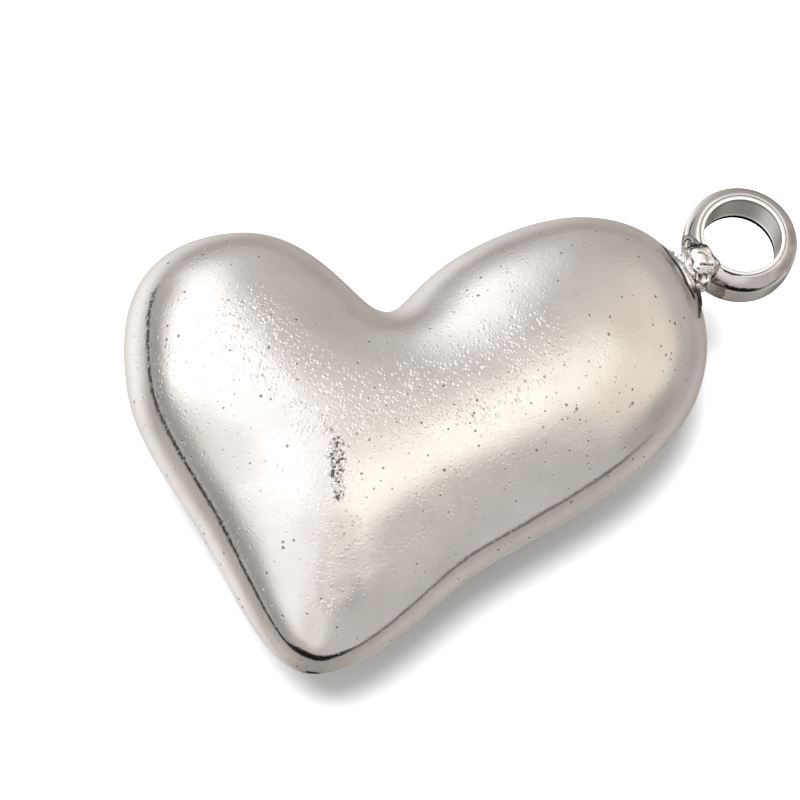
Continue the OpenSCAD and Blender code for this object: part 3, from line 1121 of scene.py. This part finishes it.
class Studio(Nodes):
    """A world of soft light, gathered layer by layer."""

    def __init__(self, world):
        super().__init__(world.node_tree)
        toward = self.add("ShaderNodeTexCoord").outputs["Generated"]
        turned = self.add("ShaderNodeVectorRotate", rotation_type="Z_AXIS", Vector=toward, Angle=-CAMERA_TURN)
        self.way = turned.outputs[0]
        self.x, self.y, z = self.add("ShaderNodeSeparateXYZ", Vector=self.way).outputs
        self.elevation = self.times(self.math("ARCSINE", z), DEGREES)
        self.azimuth = self.times(self.math("ARCTAN2", self.x, self.y), DEGREES)
        self.light = self.mix(self.ramp(self.elevation, 5, 80), grey(0.68, 0.045), grey(1.03, 0.045))

    def between(self, value, start, end, soft):
        return self.times(
            self.ramp(value, start - soft, start + soft),
            self.below(value, end - soft, end + soft),
        )

    def rectangle(self, from_az, to_az, from_el, to_el, soft_az, soft_el):
        return self.times(
            self.between(self.azimuth, from_az, to_az, soft_az),
            self.between(self.elevation, from_el, to_el, soft_el),
        )

    def disc(self, azimuth, elevation, inner, outer):
        cosine = self.vector("DOT_PRODUCT", self.way, way_to(azimuth, elevation))
        return self.ramp(cosine, math.cos(math.radians(outer)), math.cos(math.radians(inner)))

    def lay(self, mask, colour):
        self.light = self.mix(mask, self.light, colour)

    def lay_sky(self):
        for shape, measures, colour in SKY:
            mask = self.disc(*measures) if shape == DISC else self.rectangle(*measures)
            self.lay(mask, colour)

    def lay_table(self):
        """What the sides mirror of the table, below the horizon."""
        table = self.mix(self.ramp(self.elevation, -32, -5), grey(0.82, 0.04), grey(0.62, 0.04))
        table = self.mix(self.disc(-66, -45, 14, 54), table, grey(1.46, -0.01))
        table = self.mix(self.ramp(self.azimuth, 84, 150), table, grey(0.48, 0.04))
        table = self.mix(self.ramp(self.azimuth, -140, -178), table, grey(0.54, 0.05))
        self.lay(self.below(self.elevation, -0.6, 0.2), table)

    def lay_strip(self):
        """The dark strip that the rim mirrors at the horizon: wide at the camera, a line at the sides.

        It climbs on the left of the tip and dips on its right.
        """
        past_tip = self.times(self.math("ARCTAN2", self.x, self.times(self.y, -1.0)), DEGREES)
        climb = self.ramp(past_tip, -40, -4, 1.2, 6.0)
        centre = self.math("ADD", climb, self.ramp(past_tip, -4, 62, 0.0, -10.0))
        widening = self.ramp(past_tip, -40, -4, 2.4, 8.2)
        width = self.math("ADD", widening, self.ramp(past_tip, 26, 64, 0.0, -5.8))
        off = self.math("SUBTRACT", self.apart(self.elevation, centre), width)
        left = self.ramp(self.azimuth, -54, -66)
        far_right = self.times(self.ramp(self.azimuth, 90, 106), 0.65)
        right = self.scaled(self.ramp(self.azimuth, 118, 134), 0.35, far_right)
        self.lay(self.times(self.below(off, -0.7, 0.7), self.most(left, right)), DARK_STRIP)

    def finish(self):
        back = self.add("ShaderNodeBackground", Color=self.light)
        self.add("ShaderNodeOutputWorld", Surface=back.outputs[0])


def build_studio():
    world = bpy.data.worlds.new("studio")
    world.use_nodes = True
    bpy.context.scene.world = world
    bpy.context.scene.view_settings.view_transform = "Standard"
    studio = Studio(world)
    studio.lay_sky()
    studio.lay_table()
    studio.lay_strip()
    studio.finish()


build_studio()

# Key light, from the back left
KEY_ENERGY = 8.0
KEY_ANGLE = math.radians(44)
KEY_WAY = way_to(-60, 71)
KEY_DISTANCE = 0.3


def build_key():
    """The key light. It lights the floor only: the steel mirrors the studio."""
    data = bpy.data.lights.new("key", "SUN")
    data.energy = KEY_ENERGY
    data.angle = KEY_ANGLE
    key = bpy.data.objects.new("key", data)
    bpy.context.scene.collection.objects.link(key)
    key.rotation_mode = "QUATERNION"
    key.rotation_quaternion = KEY_WAY.to_track_quat("Z", "Y")
    key.location = KEY_WAY * KEY_DISTANCE
    key.visible_glossy = False


build_key()
